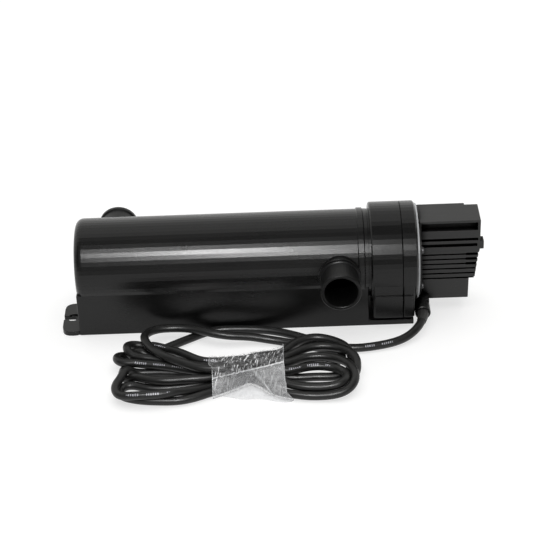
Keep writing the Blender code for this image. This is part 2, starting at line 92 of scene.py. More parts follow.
def build_camera():
    data = bpy.data.cameras.new("camera")
    data.lens = CAMERA_LENS
    data.sensor_width = CAMERA_SENSOR
    data.clip_start = 0.05
    data.clip_end = 50.0
    camera = link(bpy.data.objects.new("camera", data))
    lift, yaw, roll = (math.radians(a) for a in (CAMERA_ELEVATION, CAMERA_YAW, CAMERA_ROLL))
    look = Vector((math.sin(yaw) * math.cos(lift), math.cos(yaw) * math.cos(lift), -math.sin(lift)))
    side = Vector((math.cos(yaw), -math.sin(yaw), 0.0))
    up = side.cross(look)
    side_rolled = side * math.cos(roll) + up * math.sin(roll)
    up_rolled = -side * math.sin(roll) + up * math.cos(roll)
    place = (Vector(CAMERA_TARGET) - look * CAMERA_DISTANCE) * MM
    matrix = Matrix((side_rolled, up_rolled, -look)).transposed().to_4x4()
    matrix.translation = place
    camera.matrix_world = matrix
    scene.camera = camera


build_camera()


# Cord -----------------------------------------------------------------------------------

# The lead's route in the housing's millimetres: out of the gland, down to the floor and along to the hank.
LEAD = [
    (352.2, -44.0, 14.0),
    (351.4, -51.0, 13.7),
    (348.8, -58.5, 12.4),
    (344.0, -65.8, 10.3),
    (337.4, -72.2, 8.0),
    (328.6, -77.6, 6.0),
    (318.0, -81.6, 4.9),
    (305.0, -84.9, 4.45),
    (292.0, -87.3, 4.4),
    (279.9, -88.0, 4.4),
    (264.0, -85.3, 4.4),
    (250.0, -79.0, 4.4),
    (237.0, -71.5, 4.4),
    (224.0, -64.2, 4.4),
    (208.0, -56.3, 4.4),
    (191.0, -51.0, 4.4),
    (173.7, -48.3, 4.4),
    (155.0, -47.3, 4.4),
    (139.0, -48.0, 4.4),
    (126.0, -53.5, 4.4),
    (114.3, -60.8, 4.4),
    (97.5, -71.6, 4.4),
]
# The hank's turns in the housing's millimetres, each ending in the wrap.
TURNS = [
    # low outer turn at the left
    [
        (82, -82.5, 4.5), (67, -93.5, 4.5), (54.5, -104, 4.5), (48.5, -115, 4.5), (51, -127, 6),
        (60, -134.5, 8.5), (75, -140, 11), (89.5, -144.6, 12.8), (111, -143.5, 12.8), (133, -141.7, 12.8),
        (152, -135.5, 12), (172, -129.2, 11.9), (190, -136.5, 11), (209, -150, 9.5),
    ],
    # inner turn at the right
    [
        (224, -157, 9.4), (238.7, -159.5, 9.4), (253, -159.8, 10.5), (263.5, -158.5, 12.5),
        (268.5, -151.5, 13.5), (267, -141, 13.5), (258, -133.3, 12.9), (243.4, -128.6, 12.6),
        (226, -130.4, 12.5), (212, -135.5, 12.8), (191, -131, 17), (172, -133.2, 19.6),
        (152, -135.5, 20.5), (133.5, -138, 21),
    ],
    # high turn at the left, past the wrap's back, and a flat turn at the right
    [
        (117, -131.5, 21.3), (103, -123, 21.2), (91.2, -114.5, 20.8), (81, -103.5, 20), (74, -92.5, 19),
        (69.8, -81, 17.8), (69.5, -70, 16.5), (75, -61, 15), (84, -56, 13.8), (97.5, -54, 12.8),
        (112, -55.5, 12.8), (125, -60, 12.8), (139.7, -66, 12.5), (156, -68, 10.5), (174, -67.5, 8.5),
        (190, -69, 6), (207.8, -72.6, 4.5), (222, -78, 4.5), (236, -83, 4.5), (249, -87.5, 4.5),
        (260, -91.5, 4.5), (268.5, -99.5, 4.5), (265, -108, 4.5), (252, -111, 4.5), (239, -108.5, 4.5),
        (224, -108.5, 4.5), (209, -110, 4.5), (191, -108.5, 4.5), (172, -106.5, 4.5), (152, -111, 4.5),
        (133, -119, 4.5),
    ],
    # second turn at the left
    [
        (112, -113, 4.5), (89, -102.5, 4.5), (68, -95, 5.5), (53, -91, 8), (43.5, -94, 10.5),
        (41.5, -103.5, 12.5), (49, -112, 13), (62, -114.5, 13), (71.6, -115.5, 12.8),
        (88.6, -119.1, 12.8), (110, -124.5, 12.8), (133, -130.5, 13.5), (152, -127.5, 18),
        (172, -124.5, 19.3), (191, -121.5, 17.5), (209, -122.5, 12.8),
    ],
    # outer turn at the right, down to the floor
    [
        (224, -114.6, 12.4), (239, -111.6, 12.4), (255, -114.8, 13), (268.5, -124.5, 14.5),
        (275, -136, 15), (277.2, -148, 14), (274.5, -157.5, 11), (267, -164, 8), (254, -166.5, 5.5),
        (238.3, -166.2, 4.5), (223, -164, 4.5), (209, -159.5, 4.5), (198, -153.5, 4.5),
        (187, -141.5, 4.5), (172, -132.9, 4.5), (152, -142.5, 4.5), (133, -155, 4.5),
    ],
    # flat turn at the left
    [
        (120, -161.5, 4.5), (105, -165.5, 4.5), (88, -166, 4.5), (70, -163.8, 4.5), (57, -159, 4.5),
        (48.5, -150.5, 4.5), (48, -141, 4.5), (56, -136.5, 4.5), (66, -140.5, 4.5), (78, -144, 4.5),
        (90, -145.5, 4.5), (110, -144, 4.5), (133, -138, 4.5), (152, -126, 4.5), (172, -115.3, 4.5),
        (191, -125, 4.5), (209, -133.5, 4.5),
    ],
    # middle turn at the right, rising over the lead
    [
        (224, -135.4, 4.5), (239, -135, 4.5), (252, -135.6, 4.5), (263, -134.2, 4.5), (271, -127.8, 4.5),
        (275.5, -118, 4.8), (275.5, -107, 6.5), (271, -96.5, 9.5), (262, -87.5, 12.3), (245.2, -80, 13),
        (232, -81.5, 13.3), (222, -87, 13), (213, -95, 12.3), (206, -103, 11.9), (190, -107.5, 11.9),
        (172, -111.5, 11.9), (152, -115.5, 11.9), (136, -115, 12.2),
    ],
    # upper turn at the left
    [
        (123, -110.5, 12.8), (110.2, -101.5, 13.2), (99, -94, 13), (87.3, -88.5, 12.8), (72, -83, 12.8),
        (60, -80.3, 12.8), (52.5, -82, 12.8), (50, -88.5, 12.8), (55.5, -97, 12.8), (67.7, -102.8, 12.8),
        (82, -107, 12.8), (99.5, -113.5, 12.8), (116, -119.5, 12.8), (133, -125, 12.6), (152, -124, 12),
        (172, -120.3, 11.9), (191, -116, 12), (209, -112, 12.2),
    ],
    # widest turn at the right
    [
        (222, -103, 12.9), (232, -98, 13.3), (246, -95.3, 13.2), (260, -98.5, 13.5),
        (271.5, -105.5, 13.8), (279, -115.5, 13.5), (280, -127, 11), (277, -138, 7), (268, -146, 4.8),
        (254, -150.5, 4.5), (239, -151, 4.5), (224, -149, 4.5), (209, -144.5, 4.5), (191, -133.5, 4.5),
        (172, -124.1, 4.5), (152, -134.3, 4.5), (133, -147.5, 5),
    ],
    # last turn at the left, and the end inside the wrap
    [
        (118, -155.5, 7.5), (104, -162, 10.5), (90.4, -166, 12.7), (74, -167, 12.7), (58, -165.8, 12),
        (48.5, -163, 10.5), (45, -156, 8.8), (46.5, -146, 8.6), (49.5, -135, 10), (52, -125.5, 11),
        (58, -119.5, 6.5), (70, -118.5, 4.5), (88, -119, 4.5), (110, -123, 4.5), (133, -130.5, 4.5),
        (152, -121.5, 4.5), (163, -112, 4.5),
    ],
]


def resample(points, step):
    """Even points, about a step apart, along a polyline."""
    run = run_along(points)
    count = int(round(run[-1] / step))
    even = np.linspace(0.0, run[-1], count + 1)
    return np.stack([np.interp(even, run, points[:, axis]) for axis in range(3)], axis=1)


def catmull(knots, step):
    """Even points on a Catmull-Rom curve through the knots."""
    ends = [2 * knots[0] - knots[1], *knots, 2 * knots[-1] - knots[-2]]
    t = np.linspace(0.0, 1.0, 24, endpoint=False)[:, None]
    spans = []
    for a, b, c, d in zip(ends, ends[1:], ends[2:], ends[3:]):
        cubic = (3 * b - a - 3 * c + d) * t**3
        spans.append(0.5 * (2 * b + (c - a) * t + (2 * a - 5 * b + 4 * c - d) * t**2 + cubic))
    return resample(np.vstack([*spans, ends[-2][None]]), step)


def closest(p, q, r, s):
    """Where the segments p-q and r-s come nearest, as shares of each."""
    first, second, apart = q - p, s - r, p - r
    a, e = (first * first).sum(1), (second * second).sum(1)
    f, c, b = (second * apart).sum(1), (first * apart).sum(1), (first * second).sum(1)
    scale = a * e - b * b
    u = np.where(scale > 1e-9, np.clip((b * f - c * e) / np.maximum(scale, 1e-9), 0, 1), 0.0)
    v = np.clip((b * u + f) / e, 0, 1)
    u = np.clip((b * v - c) / a, 0, 1)
    return u, v


CORD_STEP = 4.0
SETTLE_ROUNDS = 260
# The cord's centreline, where it touches itself, where it lies on the floor, and where it touches the skirt.
TURN_GAP = CORD_DIAMETER + 0.12
FLOOR_REST = CORD_DIAMETER / 2 + 0.05
SKIRT_Y, SKIRT_END = -47.2, 299.0
# Bends sharper than this are opened, and this many points at the exit stay where they are.
LEAST_BEND_RADIUS = 11.5
PINNED_POINTS = 4


def straighten(cord, sharpest):
    """Evens the curve like a stiff cord, and opens bends sharper than a cord takes."""
    fourth = cord[:-4] - 4 * cord[1:-3] + 6 * cord[2:-2] - 4 * cord[3:-1] + cord[4:]
    cord[2:-2] -= 0.25 * fourth / 16
    bend = 0.5 * (cord[:-2] + cord[2:]) - cord[1:-1]
    size = np.linalg.norm(bend, axis=1)
    over = np.clip(1 - sharpest / np.maximum(size, 1e-9), 0, 1)
    cord[1:-1] += 0.6 * bend * over[:, None]


def neighbours(cord, step, apart):
    """Pairs of segments that lie near each other and are more than apart segments away along the cord."""
    middle = (cord[:-1] + cord[1:]) / 2
    square = (middle**2).sum(1)
    reach = TURN_GAP + step * 1.05 + 3.0
    distance = square[:, None] + square[None, :] - 2 * middle @ middle.T
    return np.where(np.triu(distance < reach * reach, apart))


def push_apart(cord, near):
    """Moves turns that overlap away from each other."""
    i, j = near
    u, v = closest(cord[i], cord[i + 1], cord[j], cord[j + 1])
    one = cord[i] + (cord[i + 1] - cord[i]) * u[:, None]
    two = cord[j] + (cord[j + 1] - cord[j]) * v[:, None]
    between = one - two
    length = np.linalg.norm(between, axis=1)
    hit = length < TURN_GAP
    i, j, u, v, between, length = (a[hit] for a in (i, j, u, v, between, length))
    push = (TURN_GAP - length)[:, None] * between / np.maximum(length, 1e-6)[:, None] * 0.5
    move, weight = np.zeros_like(cord), np.zeros(len(cord))
    for index, share, sign in ((i, 1 - u, 1), (i + 1, u, 1), (j, 1 - v, -1), (j + 1, v, -1)):
        np.add.at(move, index, sign * push * share[:, None])
        np.add.at(weight, index, share)
    cord += 0.9 * move / np.maximum(weight, 1.0)[:, None]


def hold_length(cord, spans, aim):
    """Brings each segment back toward its own length, with the exit held."""
    for _ in range(2):
        run = cord[1:] - cord[:-1]
        length = np.linalg.norm(run, axis=1)
        change = run * ((length - spans) / length * 0.25)[:, None]
        cord[:-1] += change
        cord[1:] -= change
        cord[:PINNED_POINTS] = aim[:PINNED_POINTS]


def settle(route):
    """Lets the turns push each other apart, with stiffness, above the floor and clear of the skirt."""
    cord, aim = route.copy(), route.copy()
    spans = np.linalg.norm(np.diff(cord, axis=0), axis=1)
    step = spans.mean()
    apart = int(np.ceil(2.2 * CORD_DIAMETER / step))
    sharpest = step * step / (2 * LEAST_BEND_RADIUS)
    near = None
    for turn in range(SETTLE_ROUNDS):
        cord += (0.02 if turn < SETTLE_ROUNDS * 0.6 else 0.004) * (aim - cord)
        straighten(cord, sharpest)
        if turn % 6 == 0:
            near = neighbours(cord, step, apart)
        push_apart(cord, near)
        cord[:, 2] = np.maximum(cord[:, 2], FLOOR_REST)
        inside = (cord[:, 0] < SKIRT_END) & (cord[:, 1] > SKIRT_Y)
        cord[inside, 1] = SKIRT_Y
        cord[:PINNED_POINTS] = aim[:PINNED_POINTS]
        hold_length(cord, spans, aim)
    return cord


def tube_mesh(name, points, radius, sides, radii=None):
    """A closed round tube along points in metres, whose first side faces up; radii scale the radius."""
    count = len(points)
    tangents = np.gradient(points, axis=0)
    tangents /= np.linalg.norm(tangents, axis=1)[:, None]
    up = np.array([0.0, 0.0, 1.0]) - tangents[:, 2:3] * tangents
    up /= np.linalg.norm(up, axis=1)[:, None]
    side = np.cross(tangents, up)
    turns = np.arange(sides) * 2 * math.pi / sides
    widths = radius * (np.ones(count) if radii is None else np.asarray(radii))
    spokes = up[:, None] * np.cos(turns)[None, :, None] + side[:, None] * np.sin(turns)[None, :, None]
    rings = points[:, None] + spokes * widths[:, None, None]
    faces = []
    for k in range(count - 1):
        for m in range(sides):
            n = (m + 1) % sides
            faces.append((k * sides + m, k * sides + n, (k + 1) * sides + n, (k + 1) * sides + m))
    faces.append(tuple(range(sides))[::-1])
    faces.append(tuple((count - 1) * sides + m for m in range(sides)))
    mesh = bpy.data.meshes.new(name)
    mesh.from_pydata(rings.reshape(-1, 3).tolist(), [], faces)
    mesh.shade_smooth()
    mesh.set_sharp_from_angle(angle=math.radians(50.0))
    return mesh, spokes


knots = [np.array(p, float) for p in LEAD] + [np.array(p, float) for turn in TURNS for p in turn]
cord_line = settle(catmull(knots, CORD_STEP))

CORD_SIDES = 18
# Rows of pale dashes on the cord: a place on it, the row's length, and its lean to the front.
PRINTED = [
    ((108.0, -99.5, 13.3), 90.0, 0.1),
    ((90.0, -128.0, 13.0), 66.0, 0.3),
    ((90.0, -165.5, 13.0), 96.0, 0.25),
    ((243.0, -129.5, 13.0), 84.0, 0.0),
    ((306.0, -84.8, 4.6), 34.0, 0.2),
]
# Which way the dashes face with no lean, and a lane too far round the cord to hold any.
PRINT_FACES = (0.0, -0.55, 0.835)
NO_PRINT = 30.0


def build_cord():
    """The cord's piece, whose points say how far along and how far from the dashes they lie, and its path."""
    fine = to_row(catmull(list(cord_line), 2.0))
    mesh, spokes = tube_mesh("mains_cord", fine, CORD_DIAMETER / 2 * MM, CORD_SIDES)
    run = run_along(fine) / MM
    lane = np.full((len(fine), CORD_SIDES), NO_PRINT)
    for place, reach, lean in PRINTED:
        middle = int(np.argmin(np.linalg.norm(fine - to_row(place), axis=1)))
        inside = np.abs(run - run[middle]) < reach / 2
        aim = np.array(PRINT_FACES) + np.array([0.0, -lean, 0.0])
        angle = np.arccos(np.clip(spokes[inside] @ (aim / np.linalg.norm(aim)), -1, 1))
        lane[inside] = angle * CORD_DIAMETER / 2
    along = np.repeat(run[:, None], CORD_SIDES, axis=1)
    add_attributes(mesh, {"lane": lane, "along": along})
    return link(bpy.data.objects.new("mains_cord", mesh)), fine


# Film -----------------------------------------------------------------------------------

# Stations along the housing, and degrees round the bundle: from under it, over it and down its front.
FILM_STATIONS = np.linspace(134.0, 219.0, 124)
FILM_DEGREES = np.linspace(-96.0, 212.0, 150)
FILM_ROWS = 116
FLAP_STEPS = 22
# How far the film lies off the turns, the lowest that it comes to the floor, and its thickness.
FILM_STANDOFF = 0.55
FILM_LOWEST = 0.35
FILM_THICKNESS = 0.12
# The strands that shape the film lie in front of this, and within this far of a station.
HANK_BACK_Y = -84.0
STATION_REACH = 4.0
# The film's slanting crease and its diagonal fold, each as (x, slanted height) ends.
CREASE = ((137.0, -65.4), (207.0, -52.7))
FOLD = ((177.0, -57.5), (198.0, -84.0))
# The crease wavers as far as this x and is straight from there on.
CREASE_STRAIGHT_FROM = 168.0
# The x of the film's left and right edges, by degrees round the bundle.
FILM_LEFT = ((60.0, 134.6), (100.0, 135.4), (130.0, 138.2))
FILM_RIGHT = ((90.0, 208.6), (115.0, 209.6), (150.0, 213.0), (205.0, 217.2))
# Where the flap ends on the floor, and how much farther forward it reaches at its right edge.
FLAP_END_Y = -156.0
FLAP_SLANT = 13.5


def taut_film():
    """Where film pulled tight round the turns lies: y and z for each station and angle."""
    margin = 8
    bundle = resample(cord_line, 1.0)
    along = (bundle[:, 0] > FILM_STATIONS[0] - margin) & (bundle[:, 0] < FILM_STATIONS[-1] + margin)
    bundle = bundle[along & (bundle[:, 1] < HANK_BACK_Y)]
    turn = np.radians(FILM_DEGREES)
    out = np.stack([np.cos(turn), np.sin(turn)], axis=1)
    reach = np.empty((len(FILM_STATIONS), len(turn)))
    for row, x in enumerate(FILM_STATIONS):
        part = bundle[np.abs(bundle[:, 0] - x) < STATION_REACH]
        reach[row] = (part[:, 1:] @ out.T).max(axis=0) + CORD_DIAMETER / 2 + FILM_STANDOFF
    blur = np.exp(-0.5 * (np.arange(-margin, margin + 1) / 3.2) ** 2)
    blur /= blur.sum()
    for column in range(len(turn)):
        line = reach[:, column]
        padded = np.r_[np.repeat(line[0], margin), line, np.repeat(line[-1], margin)]
        reach[:, column] = np.convolve(padded, blur, mode="valid")
    slope = np.gradient(reach, turn, axis=1)
    tangent = np.stack([-np.sin(turn), np.cos(turn)], axis=1)
    return reach[:, :, None] * out[None] + slope[:, :, None] * tangent[None]


def wrinkle_height(x, degrees, share):
    """How far the film stands off its taut place: ridges that run round the bundle, lower at its edges."""
    ridge = 1.0 - abs(noise(Vector((x * 0.24 + degrees * 0.006, degrees * 0.011, 3.0)))) * 2.4
    small = noise(Vector((x * 0.55, degrees * 0.03, 9.0)))
    swell = 0.75 * max(0.0, ridge) ** 2 + 0.28 * small
    return swell * min(1.0, 0.35 + min(share, 1.0 - share) * 14.0)


def flap_point(x, y, z, share, s):
    """A point of the flap, a share s of the way from y and z on the bundle to the flap's end on the floor."""
    y_end = min(FLAP_END_Y - FLAP_SLANT * share - 1.2 * math.sin(x * 0.16), y - 2.0)
    fold = noise(Vector((x * 0.035 + s * 0.6, s * 0.9, 5.0))) * 2.2 * math.sin(math.pi * s)
    y_here = y + (y_end - y) * s**0.85 - 0.5 * fold
    z_here = max(FILM_LOWEST, z * (1.0 - s) ** 1.5 + abs(fold) * 0.9 * (1.0 - 0.55 * s))
    return (x - 2.5 * share**2 * s, y_here, z_here)


def slanted(y, z):
    """How high a point stands on the wrap's sloping front face."""
    return 0.534 * y + 0.845 * z


def film_marks(points, taut):
    """How milky, wrinkled and creased the film is at each point, from where it lay before its wrinkles."""
    x, high = taut[..., 0], slanted(taut[..., 1], taut[..., 2])
    flap = np.zeros_like(x)
    flap[:, len(FILM_DEGREES) :] = 1.0
    (x0, h0), (x1, h1) = CREASE
    waver = np.array([noise(Vector((place * 0.35, 0.0, 7.0))) for place in x[:, 0]])[:, None]
    crease = h0 + (h1 - h0) * (x - x0) / (x1 - x0) + 0.9 * waver * (x < CREASE_STRAIGHT_FROM)
    above = np.clip((high - crease) / 3.0 + 0.5, 0.0, 1.0)
    below = (1 - above) * (1 - flap)
    (x0, h0), (x1, h1) = FOLD
    run = np.array([x1 - x0, h1 - h0])
    share = np.clip(((x - x0) * run[0] + (high - h0) * run[1]) / (run @ run), 0.0, 1.0)
    off_fold = np.hypot(x - x0 - share * run[0], high - h0 - share * run[1])
    fold = 0.8 * np.exp(-((off_fold / 0.6) ** 2)) * (1 - flap)
    off_edge = np.minimum(x - x.min(axis=0), x.max(axis=0) - x)
    rim = 0.45 * np.exp(-((off_edge / 0.5) ** 2))
    steps = np.linalg.norm(np.diff(points, axis=1), axis=2)
    return {
        "veil": 0.02 * above + 0.24 * below + 0.40 * flap,
        "streak": 1.1 * above + 0.34 * below + 0.04 * flap,
        "seam": np.maximum(fold, rim),
        "ledge": high - crease + 40.0 * flap,
        "across": x,
        "down": np.concatenate([np.zeros((len(points), 1)), np.cumsum(steps, axis=1)], axis=1),
    }


def film_points():
    """The film's points, and where they lie before its wrinkles."""
    around = taut_film()
    left = np.interp(FILM_DEGREES, *zip(*FILM_LEFT))
    right = np.interp(FILM_DEGREES, *zip(*FILM_RIGHT))
    wrapped = len(FILM_DEGREES)
    points = np.empty((FILM_ROWS, wrapped + FLAP_STEPS, 3))
    taut = np.empty_like(points)
    for row, share in enumerate(np.linspace(0.0, 1.0, FILM_ROWS)):
        for column, degrees in enumerate(FILM_DEGREES):
            x = left[column] + (right[column] - left[column]) * share
            y = np.interp(x, FILM_STATIONS, around[:, column, 0])
            z = np.interp(x, FILM_STATIONS, around[:, column, 1])
            swell = wrinkle_height(x, degrees, share)
            angle = math.radians(degrees)
            lifted = max(FILM_LOWEST, z + math.sin(angle) * swell)
            points[row, column] = (x, y + math.cos(angle) * swell, lifted)
            taut[row, column] = (x, y, z)
        x, y, z = points[row, wrapped - 1]
        for step in range(FLAP_STEPS):
            points[row, wrapped + step] = flap_point(x, y, z, share, (step + 1) / FLAP_STEPS)
    taut[:, wrapped:] = points[:, wrapped:]
    return points, taut


def build_film():
    points, taut = film_points()
    width = points.shape[1]
    faces = []
    for row in range(FILM_ROWS - 1):
        for column in range(width - 1):
            a = row * width + column
            faces.append((a, a + 1, a + width + 1, a + width))
    mesh = bpy.data.meshes.new("film_wrap")
    mesh.from_pydata(to_row(points.reshape(-1, 3)).tolist(), [], faces)
    mesh.shade_smooth()
    add_attributes(mesh, film_marks(points, taut))
    film = link(bpy.data.objects.new("film_wrap", mesh))
    skin = film.modifiers.new("thickness", "SOLIDIFY")
    skin.thickness = FILM_THICKNESS * MM
    skin.offset = 0.0
    return film


# Cores ----------------------------------------------------------------------------------

CORE_RADIUS = 1.0
CORE_SIDES = 12
# A ferrule's rings: how far past the core's end each is, and its radius in core radii.
FERRULE = ((-4.0, 1.25), (0.0, 1.25), (3.0, 1.2), (5.5, 0.75), (5.8, 0.4))


def build_cores():
    """The three ferruled cores at the cord's bare end, inside the wrap."""
    end = cord_line[-1]
    heading = cord_line[-1] - cord_line[-4]
    heading /= np.linalg.norm(heading)
    side = np.cross(heading, (0.0, 0.0, 1.0))
    lift = np.array([0.0, 0.0, 0.25])
    made = []
    for name, spread in (("brown", -1.0), ("blue", 0.0), ("earth", 1.0)):
        fan = side * spread
        path = np.array([end + heading * s + fan * (2.0 + s * 0.05) + lift for s in range(-2, 20, 2)])
        mesh, _ = tube_mesh(f"core_{name}", to_row(path), CORE_RADIUS * MM, CORE_SIDES)
        core = link(bpy.data.objects.new(f"core_{name}", mesh))
        tip = np.array([path[-1] + heading * s for s, _ in FERRULE])
        radii = [radius for _, radius in FERRULE]
        cap, _ = tube_mesh(f"ferrule_{name}", to_row(tip), CORE_RADIUS * MM, CORE_SIDES, radii)
        ferrule = link(bpy.data.objects.new(f"ferrule_{name}", cap))
        made.append((core, ferrule, name))
    return made


# Materials ------------------------------------------------------------------------------

# Near-black painted into grooves and corners as shade.
PAINTED_SHADE_BLACK = (0.0012, 0.0012, 0.0012)
# The radius that light sees on the moulded pieces' edges, in metres.
MOULDED_EDGE = 0.0005
PRINT_PALE = (0.58, 0.58, 0.64)
# Half the height of a dash, in millimetres round the cord.
PRINT_LANE = 1.25


class Coat:
    """A procedural material around one Principled shader, with lengths in metres and linear colours."""

    def __init__(self, name, color, roughness, specular=0.5, metallic=0.0, transmission=0.0, ior=1.5):
        self.made = bpy.data.materials.new(name)
        self.made.use_nodes = True
        self.tree = self.made.node_tree
        self.shader = self.tree.nodes["Principled BSDF"]
        self.set("Base Color", (*color, 1.0))
        self.set("Roughness", roughness)
        self.set("Specular IOR Level", specular)
        self.set("Metallic", metallic)
        self.set("Transmission Weight", transmission)
        self.set("IOR", ior)
        coords = self.tree.nodes.new("ShaderNodeTexCoord")
        self.place = coords.outputs["Object"]
        self.bumps = None

    def set(self, socket, value):
        self.shader.inputs[socket].default_value = value

    def node(self, kind, **settings):
        made = self.tree.nodes.new(kind)
        for key, value in settings.items():
            setattr(made, key, value)
        return made

    def wire(self, output, target):
        self.tree.links.new(output, target)

    def stretched(self, scale):
        mapping = self.node("ShaderNodeMapping")
        mapping.inputs["Scale"].default_value = scale
        self.wire(self.place, mapping.inputs["Vector"])
        return mapping.outputs["Vector"]

    def noise(self, scale, detail=4.0, roughness=0.55, stretch=None):
        made = self.node("ShaderNodeTexNoise")
        made.inputs["Scale"].default_value = scale
        made.inputs["Detail"].default_value = detail
        made.inputs["Roughness"].default_value = roughness
        self.wire(self.stretched(stretch) if stretch else self.place, made.inputs["Vector"])
        return made.outputs["Fac"]

    def ramp(self, value, stops):
        made = self.node("ShaderNodeValToRGB")
        ramp = made.color_ramp
        while len(ramp.elements) < len(stops):
            ramp.elements.new(0.5)
        for element, (place, color) in zip(ramp.elements, stops):
            element.position = place
            element.color = (*color, 1.0)
        self.wire(value, made.inputs["Fac"])
        return made.outputs["Color"]

    def span(self, value, low, high, from_low=0.3, from_high=0.7):
        made = self.node("ShaderNodeMapRange")
        made.inputs["From Min"].default_value = from_low
        made.inputs["From Max"].default_value = from_high
        made.inputs["To Min"].default_value = low
        made.inputs["To Max"].default_value = high
        self.wire(value, made.inputs["Value"])
        return made.outputs["Result"]

    def math(self, operation, first, second=None):
        made = self.node("ShaderNodeMath", operation=operation)
        for index, value in enumerate((first, second)):
            if isinstance(value, (int, float)):
                made.inputs[index].default_value = value
            elif value is not None:
                self.wire(value, made.inputs[index])
        return made.outputs["Value"]

    def mix(self, share, first, second):
        made = self.node("ShaderNodeMix", data_type="RGBA")
        for index, value in ((0, share), (6, first), (7, second)):
            if isinstance(value, tuple):
                made.inputs[index].default_value = (*value, 1.0)
            else:
                self.wire(value, made.inputs[index])
        return made.outputs[2]

    def color_from(self, output):
        self.wire(output, self.shader.inputs["Base Color"])

    def roughness_from(self, output):
        self.wire(output, self.shader.inputs["Roughness"])

    def paint_cavity_shade(self, color, reach):
        """Paints shade into grooves and corners: darkens the colour and the sheen there by ambient occlusion.
        """
        made = self.node("ShaderNodeAmbientOcclusion", samples=6)
        made.inputs["Distance"].default_value = reach
        # The share of open surface; short of it the colour and sheen are painted dark as shade.
        unshaded_share = self.span(made.outputs["AO"], 0.0, 1.0, 0.55, 0.93)
        self.color_from(self.mix(unshaded_share, PAINTED_SHADE_BLACK, color))
        specular = self.shader.inputs["Specular IOR Level"]
        self.wire(self.math("MULTIPLY", unshaded_share, specular.default_value), specular)

    def soft_edges(self, radius):
        made = self.node("ShaderNodeBevel", samples=4)
        made.inputs["Radius"].default_value = radius
        self.bumps = made.outputs["Normal"]
        self.wire(self.bumps, self.shader.inputs["Normal"])

    def bump(self, height, distance):
        made = self.node("ShaderNodeBump")
        made.inputs["Distance"].default_value = distance
        self.wire(height, made.inputs["Height"])
        if self.bumps is not None:
            self.wire(self.bumps, made.inputs["Normal"])
        self.bumps = made.outputs["Normal"]
        self.wire(self.bumps, self.shader.inputs["Normal"])


def moulded(name, dark, light, roughness, specular, grain, shade_reach=0.0):
    """Black moulded plastic: cloudy flow, fine grain, hairline scuffs and softened edges, and painted shade
    in its grooves where a reach for it is given.
    """
    coat = Coat(name, dark, roughness[0], specular)
    cloud = coat.noise(14.0, 3.0)
    dust = coat.noise(420.0, 5.0, 0.7)
    speck = coat.ramp(dust, [(0.60, (0, 0, 0)), (0.72, (1, 1, 1))])
    base = coat.mix(cloud, dark, light)
    color = coat.mix(coat.math("MULTIPLY", speck, 0.12), base, tuple(c * 6 + 0.01 for c in light))
    coat.color_from(color)
    # Painted shade: the colour and sheen go dark in grooves and corners within this reach.
    if shade_reach:
        coat.paint_cavity_shade(color, shade_reach)
    smear = coat.noise(9.0, 5.0, 0.6, stretch=(0.35, 1.0, 1.0))
    scuff = coat.noise(70.0, 6.0, 0.65, stretch=(0.15, 1.0, 1.0))
    blend = coat.math("ADD", coat.math("MULTIPLY", smear, 0.65), coat.math("MULTIPLY", scuff, 0.35))
    coat.roughness_from(coat.span(blend, *roughness))
    coat.soft_edges(MOULDED_EDGE)
    coat.bump(coat.noise(34.0, 2.0), 0.00012)
    coat.bump(coat.noise(1100.0, 2.0), grain)
    return coat


def rubber():
    """Cord rubber, with rows of pale, worn dashes where the cord's lane is narrow."""
    coat = Coat("cord_rubber", (0.010, 0.010, 0.0100), 0.4, 0.36)
    cloud = coat.noise(30.0, 4.0)
    dull = coat.mix(cloud, (0.0075, 0.0075, 0.0075), (0.0150, 0.0148, 0.0140))
    lane = coat.node("ShaderNodeAttribute", attribute_name="lane").outputs["Fac"]
    along = coat.node("ShaderNodeAttribute", attribute_name="along").outputs["Fac"]
    inked = coat.math("LESS_THAN", coat.math("ABSOLUTE", lane), PRINT_LANE)
    beat = coat.math("LESS_THAN", coat.math("FRACT", coat.math("MULTIPLY", along, 0.47)), 0.56)
    word = coat.math("GREATER_THAN", coat.math("SINE", coat.math("MULTIPLY", along, 0.33)), -0.45)
    marks = coat.math("MULTIPLY", coat.math("MULTIPLY", inked, beat), word)
    worn = coat.span(coat.noise(700.0, 3.0), 0.45, 1.0, 0.38, 0.58)
    coat.color_from(coat.mix(coat.math("MULTIPLY", marks, worn), dull, PRINT_PALE))
    coat.roughness_from(coat.span(coat.noise(80.0, 5.0), 0.30, 0.46))
    coat.bump(coat.noise(240.0, 3.0), 0.00006)
    coat.bump(coat.noise(1800.0, 2.0), 0.00002)
    return coat


